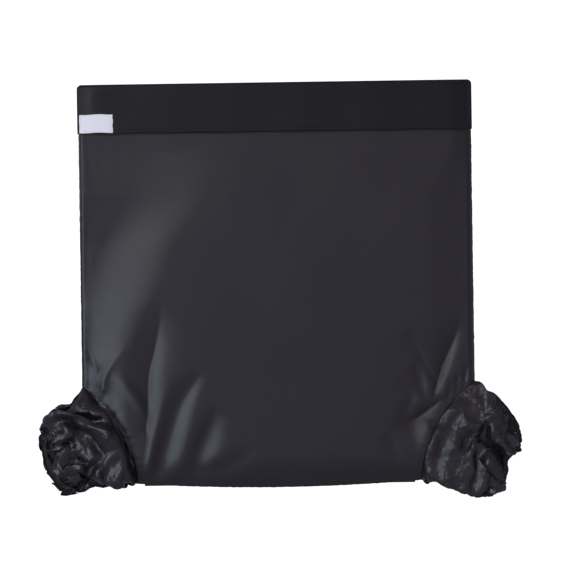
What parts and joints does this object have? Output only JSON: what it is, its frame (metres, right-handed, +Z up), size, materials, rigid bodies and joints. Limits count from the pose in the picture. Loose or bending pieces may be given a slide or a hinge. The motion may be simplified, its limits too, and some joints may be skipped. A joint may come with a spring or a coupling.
{
  "type": "film changing bag",
  "caption": "Light-tight cloth bag lying flat, with elastic arm sleeves at its lower corners and a zipped mouth under a hook-and-loop flap.",
  "frame": {"origin": "centre of the whole object's footprint, on the table the bag lies on", "axes": "+X across the bag from the left sleeve to the right one, +Y from the sleeves to the zipped mouth, +Z up from the table"},
  "size_m": [0.6672, 0.5653, 0.0483],
  "materials": {
    "coated_cloth": "black coated nylon, smooth with a soft sheen",
    "lining_cloth": "black matt cotton lining",
    "binding": "woven binding tape",
    "zip_tape": "woven zip tape",
    "zip_coil": "nylon coil",
    "zip_metal": "black painted die-cast zinc",
    "hook_and_loop": "hook-and-loop pile",
    "elastic_webbing": "elastic gathered in cloth",
    "label_cloth": "woven satin, blank"
  },
  "bodies": {
    "bag": {"outer_back_panel": "coated_cloth", "outer_front_panel": "coated_cloth", "inner_back_panel": "lining_cloth", "inner_front_panel": "lining_cloth", "right_seam_tape": "binding", "left_seam_tape": "binding", "bottom_seam_tape": "binding", "outer_mouth_facing": "coated_cloth", "inner_mouth_facing": "lining_cloth", "outer_zip_front_tape": "zip_tape", "outer_zip_front_coil": "zip_coil", "outer_zip_back_tape": "zip_tape", "outer_zip_back_coil": "zip_coil", "outer_zip_left_stop": "zip_metal", "outer_zip_right_stop": "zip_metal", "inner_zip_front_tape": "zip_tape", "inner_zip_front_coil": "zip_coil", "inner_zip_back_tape": "zip_tape", "inner_zip_back_coil": "zip_coil", "inner_zip_left_stop": "zip_metal", "inner_zip_right_stop": "zip_metal", "loop_strip": "hook_and_loop", "left_sleeve_shoulder": "coated_cloth", "left_shoulder_lining": "lining_cloth", "left_armhole_binding": "binding", "right_sleeve_shoulder": "coated_cloth", "right_shoulder_lining": "lining_cloth", "right_armhole_binding": "binding"},
    "flap": {"flap_cover": "coated_cloth", "flap_lining": "lining_cloth", "hook_strip": "hook_and_loop", "label": "label_cloth"},
    "outer_slider": {"outer_zip_slider": "zip_metal"},
    "outer_pull": {"outer_zip_pull": "zip_metal"},
    "inner_slider": {"inner_zip_slider": "zip_metal"},
    "inner_pull": {"inner_zip_pull": "zip_metal"},
    "left_sleeve": {"left_sleeve": "coated_cloth"},
    "left_cuff": {"left_cuff_hem": "coated_cloth", "left_cuff_elastic": "elastic_webbing", "left_sleeve_lining": "lining_cloth"},
    "right_sleeve": {"right_sleeve": "coated_cloth"},
    "right_cuff": {"right_cuff_hem": "coated_cloth", "right_cuff_elastic": "elastic_webbing", "right_sleeve_lining": "lining_cloth"}
  },
  "joints": [
    {"name": "flap_hinge", "type": "hinge", "parent": "bag", "child": "flap", "pos_m": [0, 0.2825, 0.0188], "axis": [-1, 0, 0], "range_deg": [0, 195]},
    {"name": "outer_zip_slide", "type": "slide", "parent": "bag", "child": "outer_slider", "axis": [1, 0, 0], "range_m": [0, 0.44]},
    {"name": "outer_pull_pivot", "type": "hinge", "parent": "outer_slider", "child": "outer_pull", "pos_m": [-0.223, 0.264, 0.01315], "axis": [0, -1, 0], "range_deg": [0, 8]},
    {"name": "inner_zip_slide", "type": "slide", "parent": "bag", "child": "inner_slider", "axis": [1, 0, 0], "range_m": [0, 0.42]},
    {"name": "inner_pull_pivot", "type": "hinge", "parent": "inner_slider", "child": "inner_pull", "pos_m": [-0.209, 0.227, 0.00915], "axis": [0, -1, 0], "range_deg": [0, 8]},
    {"name": "left_sleeve_bend", "type": "hinge", "parent": "bag", "child": "left_sleeve", "pos_m": [-0.24471, -0.20705, 0.0302], "axis": [-0.4695, 0.8829, 0], "range_deg": [0, 100]},
    {"name": "left_cuff_draw", "type": "slide", "parent": "left_sleeve", "child": "left_cuff", "axis": [-0.8829, -0.4695, 0], "range_m": [0, 0.05]},
    {"name": "right_sleeve_bend", "type": "hinge", "parent": "bag", "child": "right_sleeve", "pos_m": [0.24471, -0.20705, 0.0302], "axis": [-0.4695, -0.8829, 0], "range_deg": [0, 100]},
    {"name": "right_cuff_draw", "type": "slide", "parent": "right_sleeve", "child": "right_cuff", "axis": [0.8829, -0.4695, 0], "range_m": [0, 0.05]}
  ]
}
